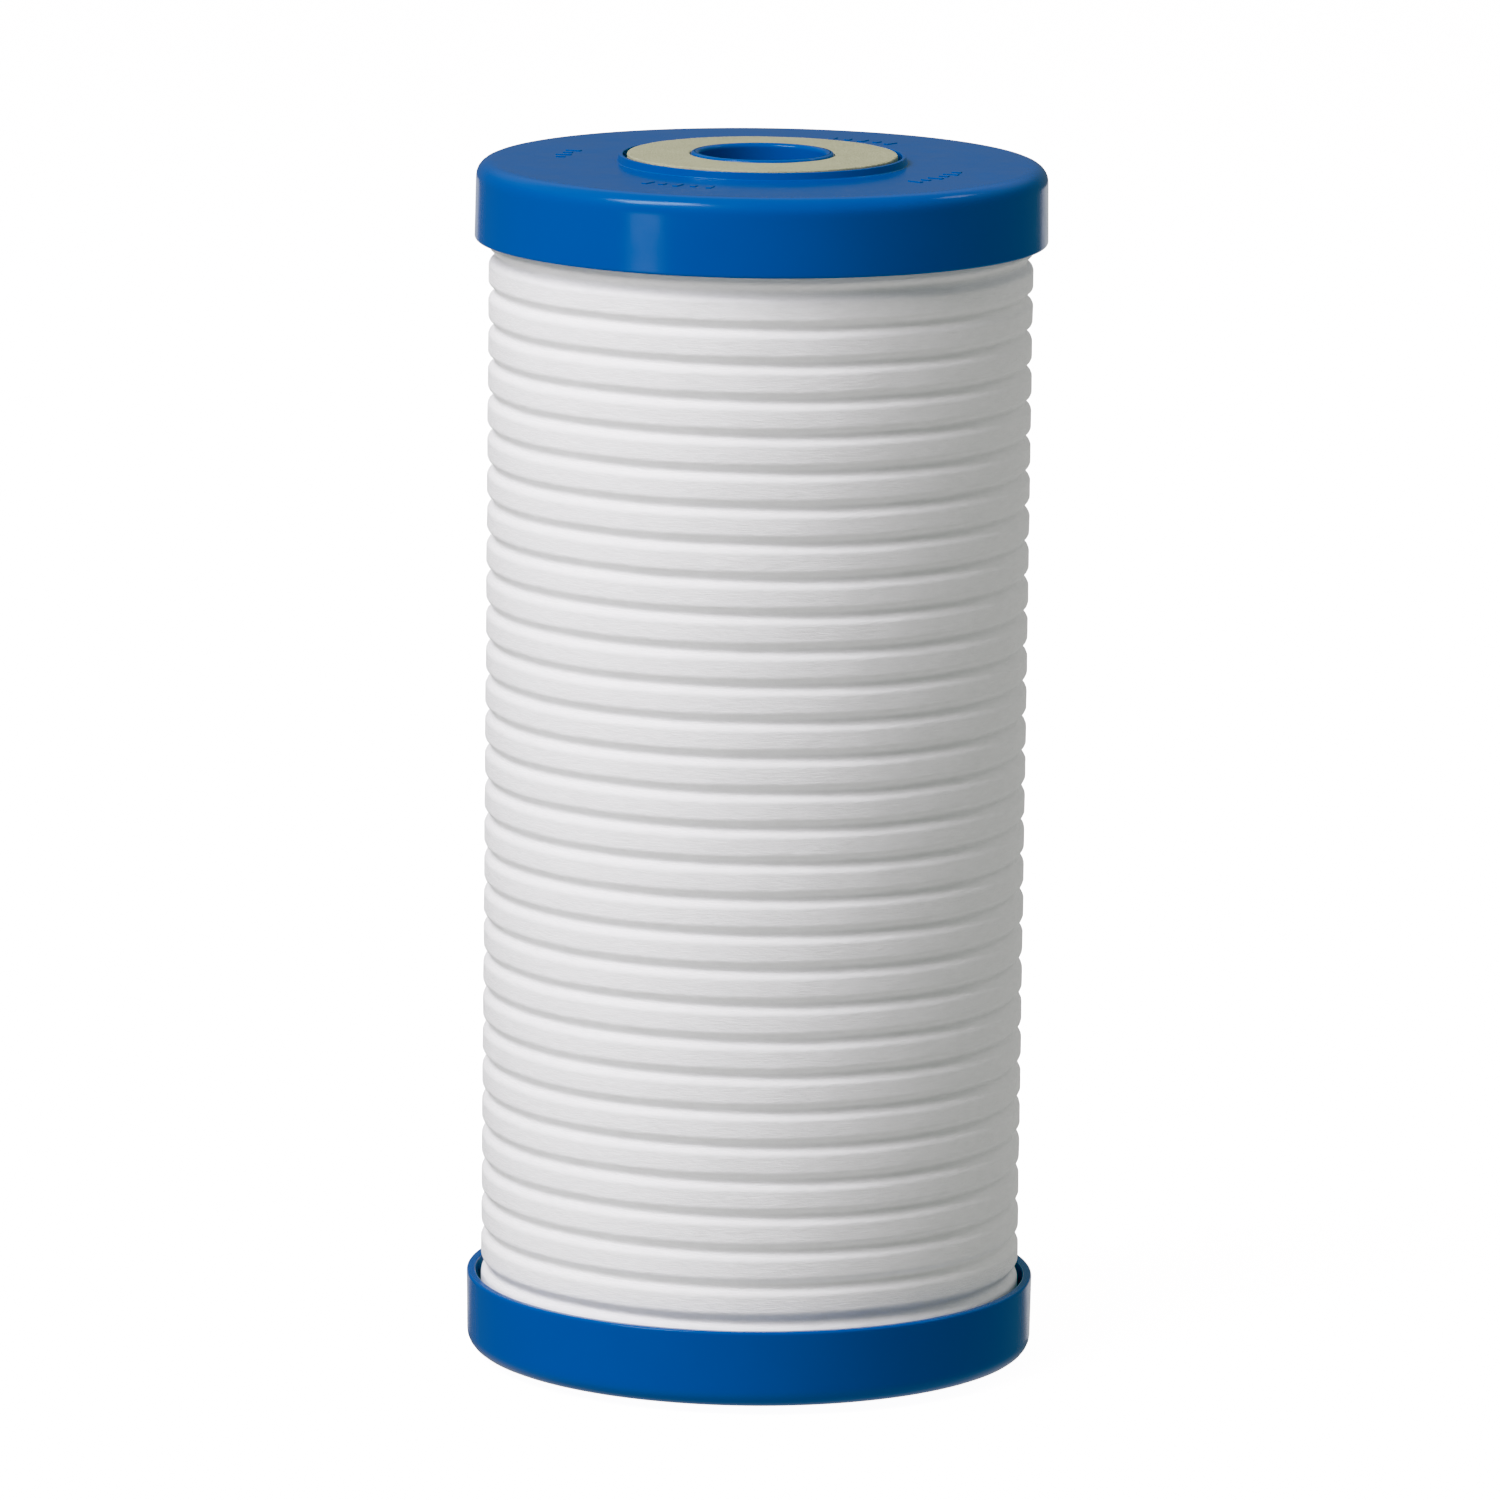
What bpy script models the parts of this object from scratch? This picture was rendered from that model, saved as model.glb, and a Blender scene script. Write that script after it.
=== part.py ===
"""Grooved depth-filter cartridge, open at both ends, for a large-diameter water filter housing.

Two moulded end caps hold a thick tube of melt-blown fibre on a slotted core.  A foam gasket in each
cap seals the cartridge between the top and the bottom of its housing.  Water goes in through the
grooved outside of the fibre, through its graded layers and the windows of the core, and out of the
bore in either cap.

The cartridge stands on +Z.  The origin is the centre of the lower gasket's sealing face.
"""

import math

import bmesh
import bpy
from mathutils import Vector

MM = 0.001

# Driving dimensions
LENGTH = 247.65 * MM  # over both gasket faces: 9 3/4 in, the length of a nominal 10 in cartridge
RIM_RADIUS = 57.85 * MM  # of an end cap, at the open rim of its skirt
MEDIA_RADIUS = 54.95 * MM  # over the ridges of the fibre
BORE_RADIUS = 12.7 * MM  # of the hole through the caps: a 1 in bore
FIT_GAP = 0.3 * MM  # left between two pieces that touch

# End cap, measured from its outer face
GASKET_PROUD = 2.4 * MM
CAP_HEIGHT = 15.7 * MM
PLATE_THICKNESS = 2.6 * MM
WALL = 1.8 * MM
DRAFT = 0.25 * MM  # how much smaller the skirt is at the face than at the rim
SHOULDER_ROUND = 3.2 * MM
BOSS_FOOT_RADIUS = 29.7 * MM
BOSS_RIM_RADIUS = 28.8 * MM
BOSS_HEIGHT = 1.5 * MM
RECESS_RADIUS = 28.1 * MM
RECESS_DEPTH = 1.6 * MM
HUB_RADIUS = 31.0 * MM
HUB_THICKNESS = 4.2 * MM
SPIGOT_RADIUS = 14.5 * MM  # of the bore's tube, outside
SPIGOT_LENGTH = 20.0 * MM
COLLAR_HEIGHT = 2.1 * MM  # of the same tube above the face, inside the gasket
COLLAR_BREAK = 0.5 * MM
RIM_BREAK = 0.4 * MM
BOSS_BREAK = 0.25 * MM

# Gasket and the ring of adhesive under it
GASKET_RADIUS = 27.3 * MM
GASKET_BORE_RADIUS = SPIGOT_RADIUS + FIT_GAP
GASKET_THICKNESS = 3.0 * MM
ADHESIVE_THICKNESS = 0.3 * MM
ADHESIVE_INSET = 1.0 * MM

# Hot-melt bond between a cap and the end of the fibre
BOND_DEPTH = 5.2 * MM  # from the cap's face to the fibre side of the bond
BOND_RADIUS = 55.0 * MM

# Core
CORE_RADIUS = 17.0 * MM
CORE_WALL = 2.0 * MM
CORE_RIBS = 8
STEPS_PER_RIB = 3  # one step of the turn is rib, the others are window
WINDOW_ROWS = 14
CORE_RING = 4.0 * MM

# Fibre: layer boundaries from the core outwards, and the grooves turned into the outermost layer
LAYER_RADII = [CORE_RADIUS + FIT_GAP, 27.0 * MM, 36.0 * MM, 45.0 * MM]
LAYER_NAMES = ["media_fine_layer", "media_medium_layer", "media_coarse_layer"]
GROOVE_PITCH = 7.17 * MM
GROOVE_COUNT = 32
GROOVE_WIDTH = 3.2 * MM
GROOVE_DEPTH = 1.3 * MM
LOWEST_GROOVE = 11.75 * MM

SEGMENTS = 40  # round the caps and gaskets
INNER_SEGMENTS = 32  # round the fibre and the bonds
SHOULDER_STEPS = 4
SHARP_ANGLE = math.radians(35)
MERGE_DISTANCE = 0.01 * MM
EMPTY_SIZE = 20 * MM

# Worked out from the above
FACE_HEIGHTS = {"top": LENGTH - GASKET_PROUD, "bottom": GASKET_PROUD}
CORE_END = HUB_THICKNESS + FIT_GAP
MEDIA_END = BOND_DEPTH + FIT_GAP
MEDIA_TOP = FACE_HEIGHTS["top"] - MEDIA_END
MEDIA_BOTTOM = FACE_HEIGHTS["bottom"] + MEDIA_END


def clear_scene():
    for scene_object in list(bpy.data.objects):
        bpy.data.objects.remove(scene_object, do_unlink=True)


def material(name, colour, roughness):
    made = bpy.data.materials.new(name)
    made.use_nodes = True
    shader = made.node_tree.nodes["Principled BSDF"]
    shader.inputs["Base Color"].default_value = (*colour, 1.0)
    shader.inputs["Roughness"].default_value = roughness
    shader.inputs["Metallic"].default_value = 0.0
    return made


def rounded(outline, corner, radius, steps):
    """The outline with one of its corners replaced by an arc that is tangent to both its sides."""
    index = outline.index(corner)
    here = Vector(corner)
    to_last = (Vector(outline[index - 1]) - here).normalized()
    to_next = (Vector(outline[(index + 1) % len(outline)]) - here).normalized()
    half_angle = to_last.angle(to_next) / 2
    centre = here + (to_last + to_next).normalized() * (radius / math.sin(half_angle))
    start = (here + to_last * (radius / math.tan(half_angle)) - centre).normalized()
    end = (here + to_next * (radius / math.tan(half_angle)) - centre).normalized()
    turns = [start.slerp(end, step / steps) for step in range(steps + 1)]
    arc = [tuple(centre + turn * radius) for turn in turns]
    return outline[:index] + arc + outline[index + 1 :]


def turned_mesh(name, outline, segments, closed=True):
    """A mesh of the outline, in (radius, height) pairs, turned once about Z.

    A closed outline runs outwards along its top, down its outer side and back in.
    """
    points = [(radius, 0.0, height) for radius, height in outline]
    last = len(points) if closed else len(points) - 1
    edges = [(i, (i + 1) % len(points)) for i in range(last)]
    profile = bpy.data.meshes.new(name + "_profile")
    profile.from_pydata(points, edges, [])
    holder = bpy.data.objects.new(name + "_profile", profile)
    bpy.context.scene.collection.objects.link(holder)
    screw = holder.modifiers.new("Turn", "SCREW")
    screw.steps = segments
    screw.render_steps = segments
    screw.merge_threshold = MERGE_DISTANCE
    graph = bpy.context.evaluated_depsgraph_get()
    mesh = bpy.data.meshes.new_from_object(holder.evaluated_get(graph))
    mesh.name = name
    bpy.data.objects.remove(holder)
    mesh.shade_smooth()
    mesh.set_sharp_from_angle(angle=SHARP_ANGLE)
    return mesh


def ring_outline(inner, outer, top, bottom):
    return [(inner, top), (outer, top), (outer, bottom), (inner, bottom)]


def end_cap_mesh():
    """A cup with a gasket recess in a raised boss on its face.

    The tube of its bore stands up through the gasket as a collar, and reaches down into the core
    as a spigot.
    """
    collar_inner = (BORE_RADIUS, COLLAR_HEIGHT)
    collar_outer = (SPIGOT_RADIUS, COLLAR_HEIGHT)
    boss_inner = (RECESS_RADIUS, BOSS_HEIGHT)
    boss_outer = (BOSS_RIM_RADIUS, BOSS_HEIGHT)
    shoulder = (RIM_RADIUS - DRAFT, 0.0)
    rim_outer = (RIM_RADIUS, -CAP_HEIGHT)
    rim_inner = (RIM_RADIUS - WALL, -CAP_HEIGHT)
    spigot_tip = (SPIGOT_RADIUS, -SPIGOT_LENGTH)
    outline = [
        collar_inner,
        collar_outer,
        (SPIGOT_RADIUS, -RECESS_DEPTH),
        (RECESS_RADIUS, -RECESS_DEPTH),
        boss_inner,
        boss_outer,
        (BOSS_FOOT_RADIUS, 0.0),
        shoulder,
        rim_outer,
        rim_inner,
        (RIM_RADIUS - DRAFT - WALL, -PLATE_THICKNESS),
        (HUB_RADIUS, -PLATE_THICKNESS),
        (HUB_RADIUS, -HUB_THICKNESS),
        (SPIGOT_RADIUS, -HUB_THICKNESS),
        spigot_tip,
        (BORE_RADIUS, -SPIGOT_LENGTH),
    ]
    outline = rounded(outline, shoulder, SHOULDER_ROUND, SHOULDER_STEPS)
    outline = rounded(outline, boss_outer, BOSS_BREAK, 1)
    for corner in (collar_inner, collar_outer):
        outline = rounded(outline, corner, COLLAR_BREAK, 2)
    for corner in (rim_outer, rim_inner, spigot_tip):
        outline = rounded(outline, corner, RIM_BREAK, 1)
    return turned_mesh("end_cap", outline, SEGMENTS)


def gasket_mesh():
    top = GASKET_PROUD
    outline = ring_outline(GASKET_BORE_RADIUS, GASKET_RADIUS, top, top - GASKET_THICKNESS)
    return turned_mesh("gasket", outline, SEGMENTS)


def gasket_adhesive_mesh():
    """The ring of adhesive between the gasket and the floor of its recess."""
    top = GASKET_PROUD - GASKET_THICKNESS - FIT_GAP
    inner = GASKET_BORE_RADIUS + ADHESIVE_INSET
    outer = GASKET_RADIUS - ADHESIVE_INSET
    outline = ring_outline(inner, outer, top, top - ADHESIVE_THICKNESS)
    return turned_mesh("gasket_adhesive", outline, SEGMENTS)


def cap_bond_mesh():
    """Hot melt that fills the cap down to the fibre: thin under the hub, deeper outside it."""
    outline = [
        (CORE_RADIUS + FIT_GAP, -HUB_THICKNESS - FIT_GAP),
        (HUB_RADIUS + FIT_GAP, -HUB_THICKNESS - FIT_GAP),
        (HUB_RADIUS + FIT_GAP, -PLATE_THICKNESS - FIT_GAP),
        (BOND_RADIUS, -PLATE_THICKNESS - FIT_GAP),
        (BOND_RADIUS, -BOND_DEPTH),
        (CORE_RADIUS + FIT_GAP, -BOND_DEPTH),
    ]
    return turned_mesh("cap_bond", outline, INNER_SEGMENTS)


def grooved_layer_mesh():
    """The outermost fibre layer, with a V groove turned into it at every pitch."""
    inner = LAYER_RADII[-1] + FIT_GAP
    outline = [(inner, MEDIA_TOP), (MEDIA_RADIUS, MEDIA_TOP)]
    for groove in reversed(range(GROOVE_COUNT)):
        middle = LOWEST_GROOVE + groove * GROOVE_PITCH
        outline.append((MEDIA_RADIUS, middle + GROOVE_WIDTH / 2))
        outline.append((MEDIA_RADIUS - GROOVE_DEPTH, middle))
        outline.append((MEDIA_RADIUS, middle - GROOVE_WIDTH / 2))
    outline += [(MEDIA_RADIUS, MEDIA_BOTTOM), (inner, MEDIA_BOTTOM)]
    return turned_mesh("media_grooved_layer", outline, INNER_SEGMENTS)


def plain_layer_mesh(name, inner, outer):
    outline = ring_outline(inner, outer, MEDIA_TOP, MEDIA_BOTTOM)
    return turned_mesh(name, outline, INNER_SEGMENTS)


def core_skin_mesh():
    """The outer surface of the core as a turned sheet with its windows left out."""
    top = FACE_HEIGHTS["top"] - CORE_END
    bottom = FACE_HEIGHTS["bottom"] + CORE_END
    row_pitch = (top - bottom - CORE_RING) / WINDOW_ROWS
    heights = []
    for row in range(WINDOW_ROWS + 1):
        ring_top = top - row * row_pitch
        heights += [ring_top, ring_top - CORE_RING]
    outline = [(CORE_RADIUS, height) for height in heights]
    mesh = turned_mesh("core", outline, CORE_RIBS * STEPS_PER_RIB, closed=False)
    return without_windows(mesh, row_pitch, top)


def without_windows(mesh, row_pitch, top):
    """The sheet without the faces that lie in a window, between two rings and beside a rib."""
    step_angle = 2 * math.pi / (CORE_RIBS * STEPS_PER_RIB)
    sheet = bmesh.new()
    sheet.from_mesh(mesh)
    windows = []
    for face in sheet.faces:
        centre = face.calc_center_median()
        down = (top - centre.z) % row_pitch
        step = int(math.atan2(centre.y, centre.x) % (2 * math.pi) / step_angle)
        if down > CORE_RING and step % STEPS_PER_RIB:
            windows.append(face)
    bmesh.ops.delete(sheet, geom=windows, context="FACES")
    sheet.to_mesh(mesh)
    sheet.free()
    return mesh


def add_object(name, mesh, finish, collection, parent):
    made = bpy.data.objects.new(name, mesh)
    if not mesh.materials:
        mesh.materials.append(finish)
    made.parent = parent
    collection.objects.link(made)
    return made


def add_empty(name, collection, parent=None):
    empty = bpy.data.objects.new(name, None)
    empty.empty_display_size = EMPTY_SIZE
    empty.parent = parent
    collection.objects.link(empty)
    return empty


def build_ends(finishes, collection, cartridge):
    """Both ends are the same four pieces; the bottom end is the top one turned over."""
    pieces = {
        "end_cap": (end_cap_mesh(), finishes["cap"]),
        "gasket": (gasket_mesh(), finishes["gasket"]),
        "gasket_adhesive": (gasket_adhesive_mesh(), finishes["adhesive"]),
        "cap_bond": (cap_bond_mesh(), finishes["adhesive"]),
    }
    for side, height in FACE_HEIGHTS.items():
        end = add_empty(side + "_end", collection, cartridge)
        end.location.z = height
        end.rotation_euler.x = 0.0 if side == "top" else math.pi
        for piece, (mesh, finish) in pieces.items():
            add_object(f"{side}_{piece}", mesh, finish, collection, end)


def build_media(finish, collection, cartridge):
    inner = LAYER_RADII[0]
    for name, outer in zip(LAYER_NAMES, LAYER_RADII[1:]):
        mesh = plain_layer_mesh(name, inner, outer)
        add_object(name, mesh, finish, collection, cartridge)
        inner = outer + FIT_GAP
    grooved = grooved_layer_mesh()
    add_object("media_grooved_layer", grooved, finish, collection, cartridge)


def build_core(finish, collection, cartridge):
    core = add_object("core", core_skin_mesh(), finish, collection, cartridge)
    wall = core.modifiers.new("Wall", "SOLIDIFY")
    wall.thickness = CORE_WALL
    wall.offset = -1.0
    wall.use_even_offset = True


def main():
    clear_scene()
    collection = bpy.data.collections.new("filter_cartridge")
    bpy.context.scene.collection.children.link(collection)
    cartridge = add_empty("filter_cartridge", collection)
    finishes = {
        "cap": material("cap_blue", (0.0, 0.09, 0.37), 0.28),
        "gasket": material("gasket_cream", (0.52, 0.48, 0.35), 0.8),
        "media": material("media_white", (0.82, 0.82, 0.83), 0.95),
        "core": material("core_natural", (0.80, 0.80, 0.78), 0.45),
        "adhesive": material("adhesive_clear", (0.72, 0.68, 0.56), 0.5),
    }
    build_ends(finishes, collection, cartridge)
    build_media(finishes["media"], collection, cartridge)
    build_core(finishes["core"], collection, cartridge)


main()
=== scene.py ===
"""The looks of a grooved depth-filter cartridge with moulded blue end caps, on a pale studio floor.

Every piece is a body of revolution about the cartridge's axis, so most shapes are outlines in
(radius, height) turned once round.  Lengths are in metres.  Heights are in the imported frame, whose
origin is the centre of the lower gasket's sealing face.
"""

import math

import bmesh
import bpy
import numpy as np
from mathutils import Matrix, Quaternion, Vector, noise


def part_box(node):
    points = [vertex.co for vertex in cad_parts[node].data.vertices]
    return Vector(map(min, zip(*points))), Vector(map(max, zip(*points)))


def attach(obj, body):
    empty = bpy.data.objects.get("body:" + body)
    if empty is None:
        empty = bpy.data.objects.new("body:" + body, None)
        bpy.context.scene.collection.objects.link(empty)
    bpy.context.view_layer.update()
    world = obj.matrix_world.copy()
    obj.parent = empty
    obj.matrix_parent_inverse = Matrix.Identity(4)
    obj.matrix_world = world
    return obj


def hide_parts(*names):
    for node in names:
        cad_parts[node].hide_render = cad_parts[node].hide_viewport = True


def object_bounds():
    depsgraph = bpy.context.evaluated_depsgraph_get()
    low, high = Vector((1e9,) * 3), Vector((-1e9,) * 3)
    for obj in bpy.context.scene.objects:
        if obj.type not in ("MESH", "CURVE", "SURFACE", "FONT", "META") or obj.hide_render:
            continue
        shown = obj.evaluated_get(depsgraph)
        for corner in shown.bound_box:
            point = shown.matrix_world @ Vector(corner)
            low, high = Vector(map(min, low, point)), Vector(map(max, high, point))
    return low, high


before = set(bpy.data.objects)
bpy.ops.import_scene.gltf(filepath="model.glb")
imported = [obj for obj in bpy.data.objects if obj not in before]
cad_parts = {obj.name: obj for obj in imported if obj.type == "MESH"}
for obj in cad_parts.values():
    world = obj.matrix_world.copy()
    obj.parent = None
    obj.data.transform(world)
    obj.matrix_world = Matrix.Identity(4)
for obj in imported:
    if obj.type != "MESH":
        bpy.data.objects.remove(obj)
cad_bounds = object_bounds()

MM = 0.001

# End cap, measured from its outer face
BOSS_HEIGHT = 1.5 * MM
BOSS_RIM_RADIUS = 28.9 * MM
BOSS_FOOT_RADIUS = 29.3 * MM
RECESS_RADIUS = 28.15 * MM
RECESS_DEPTH = 1.6 * MM
BORE_RADIUS = 12.7 * MM
PLATE_THICKNESS = 2.6 * MM
HUB_RADIUS = 31.0 * MM
HUB_THICKNESS = 4.2 * MM
RIM_RADIUS = 57.85 * MM
WALL = 1.8 * MM
DRAFT = 0.25 * MM
CAP_HEIGHT = 15.7 * MM
SHOULDER_ROUND = 3.2 * MM
SPIGOT_RADIUS = 14.5 * MM
SPIGOT_LENGTH = 20.0 * MM
COLLAR_HEIGHT = 2.15 * MM  # of the bore's tube above the face, inside the gasket
CAP_TURNS = 192
CAP_SHARP_DEGREES = 20

# Raised ticks on a cap's face: (middle of the group in degrees round from the front, ticks in it)
TICK_GROUPS = [(-24, 5), (60, 6), (-104, 4), (150, 5)]
TICK_RADIUS = 41.0 * MM
TICK_PITCH = 3.4 * MM
TICK_LENGTH = 3.2 * MM
TICK_WIDTH = 1.1 * MM
TICK_HEIGHT = 0.14 * MM
TICK_ROUND = 0.07 * MM
SHORT_TICK = 0.6  # share of a long tick's length

# Gasket
GASKET_ROUND = 0.35 * MM
GASKET_TURNS = 256
FOAM_FACE_SHARE = 0.3  # of the swell, where an edge meets a face
FOAM_SEEDS = {"top": (1, 6, 10), "bottom": (2, 7, 11)}  # for its swell, nicks and faces

# Clearances between neighbouring pieces
TIGHT_GAP = 0.3 * MM
LOOSE_GAP = 0.4 * MM

# Grooves turned into the outermost fibre layer
GROOVE_PITCH = 7.17 * MM
GROOVE_COUNT = 32
LOWEST_GROOVE = 11.75 * MM
GROOVE_HALF_WIDTH = 1.85 * MM
GROOVE_DEPTH = 1.28 * MM
GROOVE_POWER = 1.6  # of the cosine across a groove: above 1, its edges ease into the ridges
# Rows of points to either side of a groove's middle, as shares of the pitch
GROOVE_ROWS = [0.03, 0.085, 0.14, 0.2, 0.262, 0.31]
RIDGE_CROWN = 0.04 * MM
MEDIA_TURNS = 240
MEDIA_ROUND = 0.4 * MM
MEDIA_ROUND_STEPS = 2
MEDIA_END_MARGIN = 0.8 * MM  # left without rows at either end
MEDIA_END_FADE = 6 * MM  # over which the sway of the grooves dies away
MEDIA_SIDE_DEPTH = 0.5 * MM  # points no deeper than this belong to the grooved side
HIGHEST_CREST = 0.05 * MM

# Core
CORE_RIBS = 8
WINDOW_ROWS = 14
CORE_RING = 4.0 * MM
CORE_WALL = 2.0 * MM
CORE_EDGE = 0.35 * MM
TURNS_PER_RIB = 9
RIB_TURNS = 3  # of those, the rest are window

# How far surfaces stray from their true shape: (most, wavelength, seed) of smooth noise, and
# (most, wavelength) for the foam, which has its seeds above
FOAM_SWELL = (0.12 * MM, 5 * MM)
FOAM_NICKS = (0.05 * MM, 1.6 * MM)
FOAM_FACE = (0.05 * MM, 7 * MM)
GLUE_EDGE = (0.4 * MM, 6 * MM, 21)
MELT_SKIN = (0.12 * MM, 9 * MM, 31)
FIBRE_SWELL = (0.10 * MM, 9 * MM, 3)
FIBRE_TUFTS = (0.05 * MM, 2.2 * MM, 4)
GROOVE_SWAY = (0.16 * MM, 26 * MM, 6)
LAYER_SWELL = (0.08 * MM, 12 * MM, 8)

# Camera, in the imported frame
CAMERA_DISTANCE = 2.3025
CAMERA_HEIGHT = 0.5441
CAMERA_PITCH = 0.17985
CAMERA_YAW = -0.00047
CAMERA_ROLL = 0.01204
CAMERA_LENS = 276.34
SENSOR_WIDTH = 36.0
FARTHEST_SEEN = 50.0

# Studio
WHITE = (1.0, 1.0, 1.0)
FILL_COLOUR = (1.0, 0.992, 0.96)
KEY_COLOUR = (1.0, 0.982, 1.03)
FLOOR_HALF_SIZE = 8.0
FLOOR_GLOW = 2.4
# (sine of the elevation, radiance) up the studio, from straight down to straight up
WORLD_BANDS = [(-1.0, 0.60), (-0.6, 0.60), (-0.2, 0.16), (0.2, 0.16), (0.6, 0.51), (1.0, 0.51)]

# Camera's response: (scene radiance, shown radiance)
RESPONSE = [
    (0.0, 0.0),
    (0.2, 0.2),
    (0.38, 0.376),
    (0.6, 0.51),
    (0.9, 0.655),
    (1.28, 0.77),
    (2.0, 0.90),
    (2.8, 1.0),
    (4.0, 1.0),
]
# The plastic's blue is purer than a screen can show, so the last of its red is cut away
RED_RESPONSE = [(0.0, 0.0), (0.02, 0.0), (0.05, 0.022), (0.1, 0.08), (0.25, 0.24), (1.0, 1.0)]


# ---------------------------------------------------------------- shapes


def rounded_outline(corners, steps=6):
    """Points of a closed outline from (radius, height, rounding) corners.

    A rounded corner becomes an arc with one more point on each side of it, which keeps the
    shading of the straight stretches flat.
    """
    points = []
    for index, (radius, height, rounding) in enumerate(corners):
        here = Vector((radius, height))
        if not rounding:
            points.append(here)
            continue
        last = (Vector(corners[index - 1][:2]) - here).normalized()
        following = (Vector(corners[(index + 1) % len(corners)][:2]) - here).normalized()
        half_angle = last.angle(following) / 2
        reach = rounding / math.tan(half_angle)
        centre = here + (last + following).normalized() * (rounding / math.sin(half_angle))
        start = (here + last * reach - centre).normalized()
        end = (here + following * reach - centre).normalized()
        guard = reach + 0.25 * rounding
        points.append(here + last * guard)
        points += [centre + start.slerp(end, step / steps) * rounding for step in range(steps + 1)]
        points.append(here + following * guard)
    return np.array([tuple(point) for point in points])


def turned_grid(outline, turns):
    """Points of the outline turned about Z, as an array of (turns, outline points, 3)."""
    angles = np.linspace(0, 2 * math.pi, turns, endpoint=False)
    x = np.outer(np.cos(angles), outline[:, 0])
    y = np.outer(np.sin(angles), outline[:, 0])
    z = np.broadcast_to(outline[:, 1], x.shape)
    return np.stack([x, y, z], axis=-1)


def smooth(mesh, sharp_degrees):
    """Smooth shading, apart from edges sharper than this."""
    mesh.shade_smooth()
    mesh.set_sharp_from_angle(angle=math.radians(sharp_degrees))


def linked(name, data):
    """A new object of this mesh, light or camera, in the scene."""
    made = bpy.data.objects.new(name, data)
    bpy.context.scene.collection.objects.link(made)
    return made


def object_from_grid(name, grid, sharp_degrees=40):
    """A smooth-shaded object whose surface closes round both ways of a turned grid."""
    turns, count = grid.shape[:2]
    turn, step = np.meshgrid(np.arange(turns), np.arange(count), indexing="ij")
    next_turn, next_step = (turn + 1) % turns, (step + 1) % count
    corners = [(turn, step), (turn, next_step), (next_turn, next_step), (next_turn, step)]
    quads = np.stack([a * count + b for a, b in corners], axis=-1).reshape(-1, 4)
    mesh = bpy.data.meshes.new(name)
    mesh.from_pydata(grid.reshape(-1, 3).tolist(), [], quads.tolist())
    smooth(mesh, sharp_degrees)
    return linked(name, mesh)


def split_steps(outline, longest):
    """The outline with points added so that no side is longer than this."""
    points = []
    for here, following in zip(outline, np.roll(outline, -1, axis=0)):
        parts = max(1, math.ceil(np.linalg.norm(following - here) / longest))
        points += [here + (following - here) * part / parts for part in range(parts)]
    return np.array(points)


def wander(grid, amount, wavelength, seed):
    """Smooth noise, as a distance for each point of the grid, from -amount to +amount."""
    flat = grid.reshape(-1, 3) / wavelength
    shift = Vector((seed * 17.3, seed * 5.1, seed * 11.7))  # a stretch of noise for each seed
    values = [noise.noise(Vector(point) + shift) for point in flat.tolist()]
    return amount * np.array(values).reshape(grid.shape[:2])


def outward(grid):
    """Unit vectors from the axis through each point of the grid."""
    flat = grid * np.array([1.0, 1.0, 0.0])
    return flat / np.linalg.norm(flat, axis=-1, keepdims=True)


# ---------------------------------------------------------------- end caps


def cap_outline():
    """The top cap's section, from the collar out over the face, down the skirt and back inside."""
    face_edge = RIM_RADIUS - DRAFT
    return rounded_outline(
        [
            (BORE_RADIUS, COLLAR_HEIGHT, 0.85 * MM),
            (SPIGOT_RADIUS, COLLAR_HEIGHT, 0.7 * MM),
            (SPIGOT_RADIUS, -RECESS_DEPTH, 0),
            (RECESS_RADIUS, -RECESS_DEPTH, 0),
            (RECESS_RADIUS, BOSS_HEIGHT, 0.16 * MM),
            (BOSS_RIM_RADIUS, BOSS_HEIGHT, 0.16 * MM),
            (BOSS_FOOT_RADIUS, 0, 0.3 * MM),
            (face_edge, 0, SHOULDER_ROUND),
            (RIM_RADIUS, -CAP_HEIGHT, 0.5 * MM),
            (RIM_RADIUS - WALL, -CAP_HEIGHT, 0.4 * MM),
            (face_edge - WALL, -PLATE_THICKNESS, 0),
            (HUB_RADIUS, -PLATE_THICKNESS, 0),
            (HUB_RADIUS, -HUB_THICKNESS, 0.4 * MM),
            (SPIGOT_RADIUS, -HUB_THICKNESS, 0),
            (SPIGOT_RADIUS, -SPIGOT_LENGTH, 0.4 * MM),
            (BORE_RADIUS, -SPIGOT_LENGTH, 0.4 * MM),
        ]
    )


def tick_mesh():
    """All the raised ticks of a cap, as bars sunk to half their height in its face."""
    bars = bmesh.new()
    for middle, count in TICK_GROUPS:
        for index in range(count):
            along = (index - (count - 1) / 2) * TICK_PITCH / TICK_RADIUS
            angle = math.radians(middle - 90) + along
            length = TICK_LENGTH if index % 2 == 0 else TICK_LENGTH * SHORT_TICK
            place = Matrix.Rotation(angle, 4, "Z") @ Matrix.Translation((TICK_RADIUS, 0, 0))
            shape = Matrix.Diagonal((length, TICK_WIDTH, 2 * TICK_HEIGHT, 1))
            bmesh.ops.create_cube(bars, size=1.0, matrix=place @ shape)
    mesh = bpy.data.meshes.new("cap_ticks")
    bars.to_mesh(mesh)
    bars.free()
    return mesh


def add_ticks(cap):
    """Joins the ticks to the cap's face."""
    ticks = linked("cap_ticks", tick_mesh())
    soften = ticks.modifiers.new("Soften", "BEVEL")
    soften.width = TICK_ROUND
    soften.segments = 2
    join = cap.modifiers.new("Ticks", "BOOLEAN")
    join.operation = "UNION"
    join.object = ticks
    apply_modifiers(cap)
    bpy.data.objects.remove(ticks)
    smooth(cap.data, CAP_SHARP_DEGREES)


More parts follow.
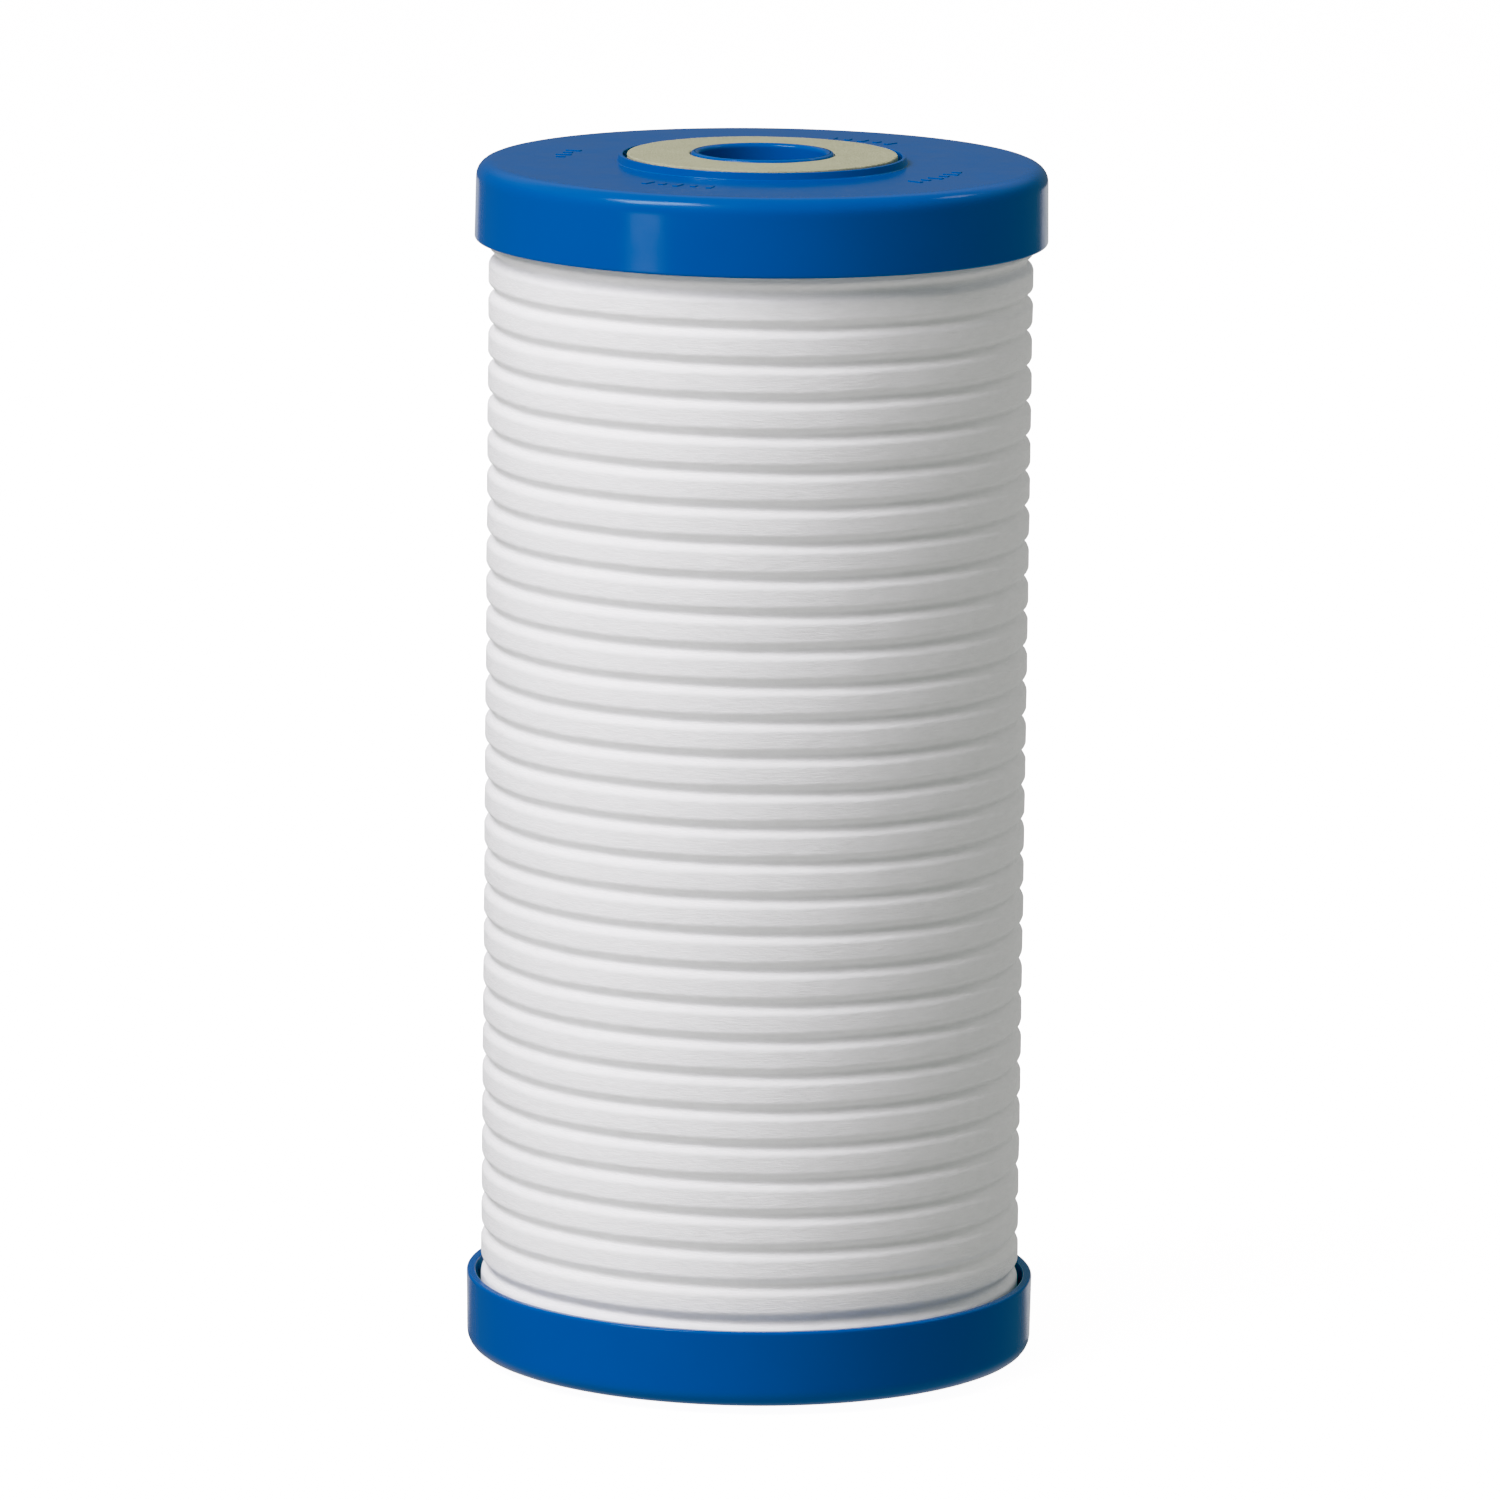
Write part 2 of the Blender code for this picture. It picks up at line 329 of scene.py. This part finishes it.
def apply_modifiers(piece):
    """Makes the piece's modifiers part of its mesh."""
    graph = bpy.context.evaluated_depsgraph_get()
    mesh = bpy.data.meshes.new_from_object(piece.evaluated_get(graph))
    piece.modifiers.clear()
    piece.data = mesh


def end_cap(side, material):
    cap = object_from_grid(side + "_cap", turned_grid(cap_outline(), CAP_TURNS))
    add_ticks(cap)
    return finished(cap, side, side + "_end_cap", material)


# ---------------------------------------------------------------- placing


def face_height(side):
    """Height of the outer face of the cap on this side."""
    low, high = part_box(side + "_end_cap")
    return high.z - BOSS_HEIGHT if side == "top" else low.z + BOSS_HEIGHT


def under_top_face(node):
    """Outer radius of one of the top end's nodes, and its top and bottom from the cap's face."""
    low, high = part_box(node)
    return high.x, high.z - face_height("top"), low.z - face_height("top")


def finished(piece, side, node, material):
    """Gives the piece its material and body, and puts one made for the top end where it goes."""
    if side in ("top", "bottom"):
        turn = Matrix.Rotation(0.0 if side == "top" else math.pi, 4, "X")
        piece.data.transform(Matrix.Translation((0, 0, face_height(side))) @ turn)
    piece.data.materials.clear()
    piece.data.materials.append(material)
    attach(piece, "root")
    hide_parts(node)
    return piece


# ---------------------------------------------------------------- gaskets, adhesive and bonds


def gasket(side, material):
    """A foam ring with uneven cut edges, whose faces never rise over their true height."""
    outer, top, bottom = under_top_face("top_gasket")
    inner = SPIGOT_RADIUS + 0.1 * MM
    corners = [
        (inner, top, GASKET_ROUND),
        (outer, top, GASKET_ROUND),
        (outer, bottom, GASKET_ROUND),
        (inner, bottom, GASKET_ROUND),
    ]
    outline = split_steps(rounded_outline(corners, steps=4), longest=0.7 * MM)
    grid = turned_grid(outline, GASKET_TURNS)
    swell_seed, nick_seed, face_seed = FOAM_SEEDS[side]
    middle = (top + bottom) / 2
    sides = np.clip(1 - np.abs(outline[:, 1] - middle) / (top - middle), 0, 1)
    swell = wander(grid, *FOAM_SWELL, swell_seed) + wander(grid, *FOAM_NICKS, nick_seed)
    grid += outward(grid) * (swell * (FOAM_FACE_SHARE + sides))[..., None]
    grid[..., 2] += wander(grid, *FOAM_FACE, face_seed) - FOAM_FACE[0]
    piece = object_from_grid(side + "_foam_gasket", grid, sharp_degrees=60)
    return finished(piece, side, side + "_gasket", material)


def gasket_adhesive(side, material):
    """A thin film with a straying edge."""
    outer, top, bottom = under_top_face("top_gasket_adhesive")
    inner = SPIGOT_RADIUS + 1 * MM
    corners = [(inner, top, 0), (outer, top, 0), (outer, bottom, 0), (inner, bottom, 0)]
    grid = turned_grid(split_steps(rounded_outline(corners), longest=2 * MM), CAP_TURNS)
    grid += outward(grid) * (wander(grid, *GLUE_EDGE) - TIGHT_GAP)[..., None]
    piece = object_from_grid(side + "_gasket_glue", grid)
    return finished(piece, side, side + "_gasket_adhesive", material)


def cap_bond(side, material):
    """The layer of hot melt that fills the cap round and under its hub."""
    outer, top, bottom = under_top_face("top_cap_bond")
    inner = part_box("core")[1].x + LOOSE_GAP
    under_hub = -HUB_THICKNESS - TIGHT_GAP
    step = HUB_RADIUS + TIGHT_GAP
    corners = [
        (inner, under_hub, 0),
        (step, under_hub, 0.2 * MM),
        (step, top, 0.2 * MM),
        (outer, top, 0.6 * MM),
        (outer, bottom, 0.3 * MM),
        (inner, bottom, 0.2 * MM),
    ]
    grid = turned_grid(split_steps(rounded_outline(corners), longest=2.5 * MM), CAP_TURNS)
    sink = np.abs(wander(grid, *MELT_SKIN))
    grid[..., 2] -= np.where(grid[..., 2] > top - 0.1 * MM, sink, 0)
    piece = object_from_grid(side + "_hot_melt", grid)
    return finished(piece, side, side + "_cap_bond", material)


# ---------------------------------------------------------------- fibre


def groove_rows(bottom, top):
    """Heights of the rows up the grooved side, closest together across each groove."""
    shares = np.array([-share for share in reversed(GROOVE_ROWS)] + GROOVE_ROWS)
    grooves = LOWEST_GROOVE + GROOVE_PITCH * np.arange(GROOVE_COUNT)
    rows = (grooves[:, None] + GROOVE_PITCH * shares).ravel()
    return rows[(rows > bottom + MEDIA_END_MARGIN) & (rows < top - MEDIA_END_MARGIN)]


def groove_cut(heights):
    """How far the surface lies under the ridges at each height."""
    turns = (heights - LOWEST_GROOVE) / GROOVE_PITCH
    offset = np.abs(turns - np.clip(np.round(turns), 0, GROOVE_COUNT - 1)) * GROOVE_PITCH
    across = np.clip(offset / GROOVE_HALF_WIDTH, 0, 1)
    cut = GROOVE_DEPTH * np.cos(across * math.pi / 2) ** GROOVE_POWER
    along = (offset - GROOVE_HALF_WIDTH) / (GROOVE_PITCH / 2 - GROOVE_HALF_WIDTH)
    return cut + RIDGE_CROWN * (1 - np.clip(along, 0, 1)) ** 2 * (across >= 1)


def layer_corners(inner, outer, bottom, top, rounding):
    """Corners of a fibre layer's section, rounded on the outside."""
    return [(inner, top, 0), (outer, top, rounding), (outer, bottom, rounding), (inner, bottom, 0)]


def grooved_layer(material):
    """The outermost layer: the grooves wander a little, and the surface is slightly uneven."""
    low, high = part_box("media_grooved_layer")
    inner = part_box("media_coarse_layer")[1].x + TIGHT_GAP
    outer = high.x
    corners = layer_corners(inner, outer, low.z, high.z, MEDIA_ROUND)
    top_end, bottom_end = np.split(rounded_outline(corners, MEDIA_ROUND_STEPS), 2)
    side = [(outer, row) for row in groove_rows(low.z, high.z)[::-1]]
    outline = np.vstack([top_end, side, bottom_end])
    grid = turned_grid(outline, MEDIA_TURNS)
    cut = groove_cut(grid[..., 2])
    on_side = (outline[:, 0] > outer - MEDIA_SIDE_DEPTH).astype(float)
    cut += wander(grid, *FIBRE_SWELL) + wander(grid, *FIBRE_TUFTS)
    grid -= outward(grid) * (np.maximum(cut, -HIGHEST_CREST) * on_side)[..., None]
    from_end = np.minimum(grid[..., 2] - low.z, high.z - grid[..., 2])
    grid[..., 2] += wander(grid, *GROOVE_SWAY) * on_side * np.clip(from_end / MEDIA_END_FADE, 0, 1)
    piece = object_from_grid("grooved_fibre", grid, sharp_degrees=75)
    return finished(piece, None, "media_grooved_layer", material)


def plain_layer(name, node, inner, material):
    """A fibre layer without grooves, kept just inside its true radius."""
    low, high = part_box(node)
    corners = layer_corners(inner, high.x, low.z, high.z, 0.5 * MM)
    outline = split_steps(rounded_outline(corners, MEDIA_ROUND_STEPS), longest=5 * MM)
    grid = turned_grid(outline, CAP_TURNS)
    grid -= outward(grid) * (LAYER_SWELL[0] + wander(grid, *LAYER_SWELL))[..., None]
    piece = object_from_grid(name, grid, sharp_degrees=60)
    return finished(piece, None, node, material)


def inner_layers(material):
    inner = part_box("core")[1].x + LOOSE_GAP
    for layer in ("fine", "medium", "coarse"):
        node = "media_" + layer + "_layer"
        plain_layer(layer + "_fibre", node, inner, material)
        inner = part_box(node)[1].x + LOOSE_GAP


# ---------------------------------------------------------------- core


def core_skin(low, high):
    """The core's outer surface as an open grid of faces, without those in its windows."""
    pitch = (high.z - low.z - CORE_RING) / WINDOW_ROWS
    heights = []
    for row in range(WINDOW_ROWS + 1):
        heights += [low.z + row * pitch, low.z + row * pitch + CORE_RING]
    turns = CORE_RIBS * TURNS_PER_RIB
    skin = bmesh.new()
    rings = [
        [
            skin.verts.new((high.x * math.cos(angle), high.x * math.sin(angle), height))
            for angle in np.linspace(0, 2 * math.pi, turns, endpoint=False)
        ]
        for height in heights
    ]
    for level in range(len(heights) - 1):
        for turn in range(turns):
            if level % 2 and turn % TURNS_PER_RIB >= RIB_TURNS:
                continue
            beside = (turn + 1) % turns
            below, above = rings[level], rings[level + 1]
            skin.faces.new((below[turn], below[beside], above[beside], above[turn]))
    mesh = bpy.data.meshes.new("slotted_core")
    skin.to_mesh(mesh)
    skin.free()
    return mesh


def core(material):
    """The slotted tube: its skin thickened inwards, with its edges eased."""
    piece = linked("slotted_core", core_skin(*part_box("core")))
    wall = piece.modifiers.new("Wall", "SOLIDIFY")
    wall.thickness = CORE_WALL
    wall.offset = -1.0
    wall.use_even_offset = True
    edges = piece.modifiers.new("Edges", "BEVEL")
    edges.width = CORE_EDGE
    edges.segments = 2
    edges.angle_limit = math.radians(40)
    apply_modifiers(piece)
    smooth(piece.data, sharp_degrees=40)
    return finished(piece, None, "core", material)


# ---------------------------------------------------------------- materials


class Surface:
    """A Principled material with noise textures in the frame's own coordinates, in metres."""

    def __init__(self, name, roughness, **values):
        self.material = bpy.data.materials.new(name)
        self.material.use_nodes = True
        self.tree = self.material.node_tree
        self.shader = self.tree.nodes["Principled BSDF"]
        self.place = self.tree.nodes.new("ShaderNodeTexCoord").outputs["Object"]
        self.shader.inputs["Roughness"].default_value = roughness
        for socket, value in values.items():
            self.shader.inputs[socket.replace("_", " ")].default_value = value

    def node(self, kind, links=None, **inputs):
        made = self.tree.nodes.new(kind)
        for socket, source in (links or {}).items():
            self.tree.links.new(source, made.inputs[socket])
        for socket, value in inputs.items():
            made.inputs[socket.replace("_", " ")].default_value = value
        return made

    def stretched(self, across, up):
        """The coordinates scaled by so many features to the metre across and up."""
        return self.node("ShaderNodeMapping", {"Vector": self.place}, Scale=(across, across, up))

    def noise(self, across, up=None, detail=3.0, rough=0.55, distortion=0.0):
        """Noise whose features are a metre divided by these numbers across and up."""
        place = self.stretched(across, up or across).outputs["Vector"]
        inputs = {"Scale": 1.0, "Detail": detail, "Roughness": rough, "Distortion": distortion}
        return self.node("ShaderNodeTexNoise", {"Vector": place}, **inputs).outputs["Fac"]

    def spread(self, source, low, high, start=0.3, end=0.7):
        """The source with start to end made low to high, and nothing beyond."""
        made = self.node("ShaderNodeMapRange", {"Value": source})
        made.clamp = True
        made.inputs["From Min"].default_value = start
        made.inputs["From Max"].default_value = end
        made.inputs["To Min"].default_value = low
        made.inputs["To Max"].default_value = high
        return made.outputs["Result"]

    def sum(self, *sources):
        total = sources[0]
        for source in sources[1:]:
            added = self.tree.nodes.new("ShaderNodeMath")
            added.operation = "ADD"
            self.tree.links.new(total, added.inputs[0])
            self.tree.links.new(source, added.inputs[1])
            total = added.outputs[0]
        return total

    def colour(self, share, first, second):
        """Base colour from first where the share is 0 to second where it is 1."""
        made = self.tree.nodes.new("ShaderNodeMix")
        made.data_type = "RGBA"
        made.inputs["A"].default_value = (*first, 1.0)
        made.inputs["B"].default_value = (*second, 1.0)
        self.tree.links.new(share, made.inputs["Factor"])
        self.tree.links.new(made.outputs["Result"], self.shader.inputs["Base Color"])

    def rough(self, share, low, high):
        spread = self.spread(share, low, high)
        self.tree.links.new(spread, self.shader.inputs["Roughness"])

    def bump(self, height, depth):
        """Relief of this depth in metres where the height goes from 0 to 1."""
        made = self.node("ShaderNodeBump", {"Height": height}, Strength=1.0, Distance=depth)
        self.tree.links.new(made.outputs["Normal"], self.shader.inputs["Normal"])


def cap_plastic():
    """Moulded blue plastic: even in colour, with the faint orange peel of a moulded surface."""
    surface = Surface(
        "cap_blue_plastic",
        0.18,
        Specular_IOR_Level=0.3,
        Specular_Tint=(0.7, 0.82, 1.0, 1.0),
    )
    clouds = surface.noise(60, detail=2.0)
    surface.colour(clouds, (0.0, 0.056, 0.235), (0.0, 0.062, 0.255))
    surface.rough(surface.noise(140, detail=3.0), 0.15, 0.22)
    surface.bump(surface.noise(900, detail=2.0), 0.004 * MM)
    return surface.material


def foam():
    """Closed-cell foam with its fine pores cut open on every face."""
    surface = Surface("cream_foam", 0.85, Specular_IOR_Level=0.25)
    pores = surface.noise(1900, detail=2.0, rough=0.6)
    clouds = surface.noise(220, detail=2.0)
    shade = surface.sum(surface.spread(pores, 0.0, 0.7, 0.3, 0.6), surface.spread(clouds, 0.0, 0.3))
    surface.colour(shade, (0.237, 0.230, 0.158), (0.308, 0.300, 0.206))
    surface.bump(pores, 0.25 * MM)
    return surface.material


def fibre(name, light, dark):
    """Melt-blown fibre: fine threads that run mostly round the cartridge."""
    surface = Surface(name, 0.6, Specular_IOR_Level=0.6)
    threads = surface.noise(450, 3600, detail=4.0, rough=0.65, distortion=0.4)
    tufts = surface.noise(320, 800, detail=3.0)
    shade = surface.sum(surface.spread(threads, 0.0, 0.55), surface.spread(tufts, 0.0, 0.45))
    surface.colour(shade, dark, light)
    surface.bump(surface.sum(threads, tufts), 0.12 * MM)
    return surface.material


def natural_plastic():
    """Unpigmented moulded plastic, slightly cloudy."""
    surface = Surface("natural_plastic", 0.4, Subsurface_Weight=0.2, Subsurface_Scale=0.002)
    surface.colour(surface.noise(120, detail=2.0), (0.72, 0.72, 0.69), (0.8, 0.8, 0.78))
    surface.rough(surface.noise(260), 0.34, 0.48)
    surface.bump(surface.noise(1200, detail=2.0), 0.01 * MM)
    return surface.material


def glue(name, first, second):
    """Set adhesive: a little cloudy, with a lumpy skin."""
    surface = Surface(name, 0.35, Subsurface_Weight=0.3, Subsurface_Scale=0.003)
    surface.colour(surface.noise(180, detail=2.0), first, second)
    surface.rough(surface.noise(320), 0.25, 0.5)
    surface.bump(surface.noise(420, detail=3.0), 0.08 * MM)
    return surface.material


def floor_finish():
    """A plain pale floor that glows, so that it looks almost white."""
    surface = Surface("pale_floor", 0.7, Specular_IOR_Level=0.1, Emission_Strength=FLOOR_GLOW)
    surface.shader.inputs["Emission Color"].default_value = (*WHITE, 1.0)
    surface.colour(surface.noise(3, detail=1.0), (0.44, 0.44, 0.44), (0.46, 0.46, 0.46))
    return surface.material


# ---------------------------------------------------------------- floor, lights and camera


def add_floor():
    """The floor, which neither lights the cartridge nor shades it, so that it can be this pale."""
    mesh = bpy.data.meshes.new("studio_floor")
    signs = [(-1, -1), (1, -1), (1, 1), (-1, 1)]
    corners = [(x * FLOOR_HALF_SIZE, y * FLOOR_HALF_SIZE, 0) for x, y in signs]
    mesh.from_pydata(corners, [], [(0, 1, 2, 3)])
    mesh.materials.append(floor_finish())
    floor = linked("studio_floor", mesh)
    floor.visible_diffuse = False
    floor.visible_glossy = False
    floor.visible_shadow = False


def add_softbox(name, towards, distance, size, radiance, colour=WHITE, roll=0.0, mirrored=True):
    """A softbox in this direction from the cartridge's middle.

    White card that faces it there gets this radiance.  The roll, in degrees, turns it about its
    own axis, and one that isn't mirrored lights the cartridge without showing in its gloss.
    """
    light = bpy.data.lights.new(name, "AREA")
    light.shape = "RECTANGLE"
    light.size, light.size_y = size
    light.energy = radiance * math.pi**2 * distance**2  # watts, by the rule for a small softbox
    light.color = colour
    softbox = linked(name, light)
    direction = Vector(towards).normalized()
    middle = (cad_bounds[0] + cad_bounds[1]) / 2
    softbox.location = middle + direction * distance
    softbox.rotation_mode = "QUATERNION"
    turn = Quaternion((0, 0, 1), math.radians(roll))
    softbox.rotation_quaternion = direction.to_track_quat("Z", "Y") @ turn
    softbox.visible_camera = False
    softbox.visible_glossy = mirrored


def set_world():
    """A studio lit evenly from its ceiling and from below, and dimmer round the horizon."""
    world = bpy.data.worlds.new("studio")
    world.use_nodes = True
    nodes, links = world.node_tree.nodes, world.node_tree.links
    direction = nodes.new("ShaderNodeTexCoord").outputs["Generated"]
    parts = nodes.new("ShaderNodeSeparateXYZ")
    links.new(direction, parts.inputs[0])
    height = nodes.new("ShaderNodeMapRange")
    height.inputs["From Min"].default_value = -1.0
    links.new(parts.outputs["Z"], height.inputs["Value"])
    bands = nodes.new("ShaderNodeValToRGB")
    bands.color_ramp.interpolation = "EASE"
    links.new(height.outputs["Result"], bands.inputs["Fac"])
    stops = bands.color_ramp.elements  # the first and last are there already, at 0 and 1
    between = [stops.new((rise + 1) / 2) for rise, radiance in WORLD_BANDS[1:-1]]
    for stop, (rise, radiance) in zip([stops[0], *between, stops[-1]], WORLD_BANDS):
        stop.color = (*(radiance * share for share in FILL_COLOUR), 1.0)
    links.new(bands.outputs["Color"], nodes["Background"].inputs["Color"])
    bpy.context.scene.world = world


def shape_curve(curve, points):
    """Bends a new curve, which has its two end points only, through all these points."""
    curve.points[0].location = points[0]
    curve.points[1].location = points[-1]
    for point in points[1:-1]:
        curve.points.new(*point)
    for point in curve.points:
        point.handle_type = "AUTO_CLAMPED"


def set_response():
    """The camera's response: true up to middle grey, then a long soft shoulder up to white.

    It also cuts the last of the red out of the darkest reds.
    """
    view = bpy.context.scene.view_settings
    view.view_transform = "Standard"
    view.use_curve_mapping = True
    mapping = view.curve_mapping
    mapping.use_clip = False
    mapping.clip_max_x = RESPONSE[-1][0]
    red, _, _, combined = mapping.curves
    shape_curve(combined, RESPONSE)
    shape_curve(red, RED_RESPONSE)
    mapping.update()


def add_camera():
    camera = bpy.data.cameras.new("camera")
    camera.lens = CAMERA_LENS
    camera.sensor_width = SENSOR_WIDTH
    camera.clip_end = FARTHEST_SEEN
    holder = linked("camera", camera)
    holder.matrix_world = (
        Matrix.Translation((0, -CAMERA_DISTANCE, CAMERA_HEIGHT))
        @ Matrix.Rotation(-CAMERA_YAW, 4, "Z")
        @ Matrix.Rotation(math.pi / 2 - CAMERA_PITCH, 4, "X")
        @ Matrix.Rotation(CAMERA_ROLL, 4, "Z")
    )
    bpy.context.scene.camera = holder


# ---------------------------------------------------------------- assembly

blue = cap_plastic()
cream = foam()
white = fibre("white_fibre", (0.83, 0.83, 0.83), (0.75, 0.75, 0.75))
inner_white = fibre("inner_fibre", (0.76, 0.76, 0.75), (0.68, 0.68, 0.67))
natural = natural_plastic()
clear_glue = glue("clear_adhesive", (0.70, 0.66, 0.52), (0.76, 0.73, 0.60))
melt = glue("hot_melt_glue", (0.74, 0.70, 0.56), (0.80, 0.77, 0.65))

for end in ("top", "bottom"):
    end_cap(end, blue)
    gasket(end, cream)
    gasket_adhesive(end, clear_glue)
    cap_bond(end, melt)
grooved_layer(white)
inner_layers(inner_white)
core(natural)

add_floor()
add_softbox(
    "key_softbox",
    towards=(-0.52, -0.50, 0.70),
    distance=1.8,
    size=(1.1, 1.1),
    radiance=1.16,
    colour=KEY_COLOUR,
    mirrored=False,
)
add_softbox(
    "streak_softbox",
    towards=(-0.506, -0.35, 0.789),
    distance=2.0,
    size=(0.9, 0.6),
    radiance=0.58,
    colour=KEY_COLOUR,
    roll=44,
)
add_softbox(
    "floor_bounce",
    towards=(-0.45, -0.55, -0.70),
    distance=1.8,
    size=(1.6, 1.6),
    radiance=0.22,
    mirrored=False,
)
add_softbox(
    "low_strip",
    towards=(-0.72, -0.70, -0.02),
    distance=0.9,
    size=(0.22, 0.18),
    radiance=0.055,
    colour=KEY_COLOUR,
)
add_softbox(
    "side_softbox",
    towards=(0.617, 0.29, 0.731),
    distance=2.0,
    size=(0.3, 0.3),
    radiance=0.03,
)
add_softbox(
    "right_softbox",
    towards=(0.94, 0.30, 0.15),
    distance=1.8,
    size=(1.6, 1.6),
    radiance=0.19,
    colour=FILL_COLOUR,
    mirrored=False,
)
add_softbox(
    "back_card",
    towards=(0.06, 0.985, -0.17),
    distance=1.5,
    size=(1.4, 0.45),
    radiance=0.06,
    colour=FILL_COLOUR,
)
set_world()
add_camera()
set_response()
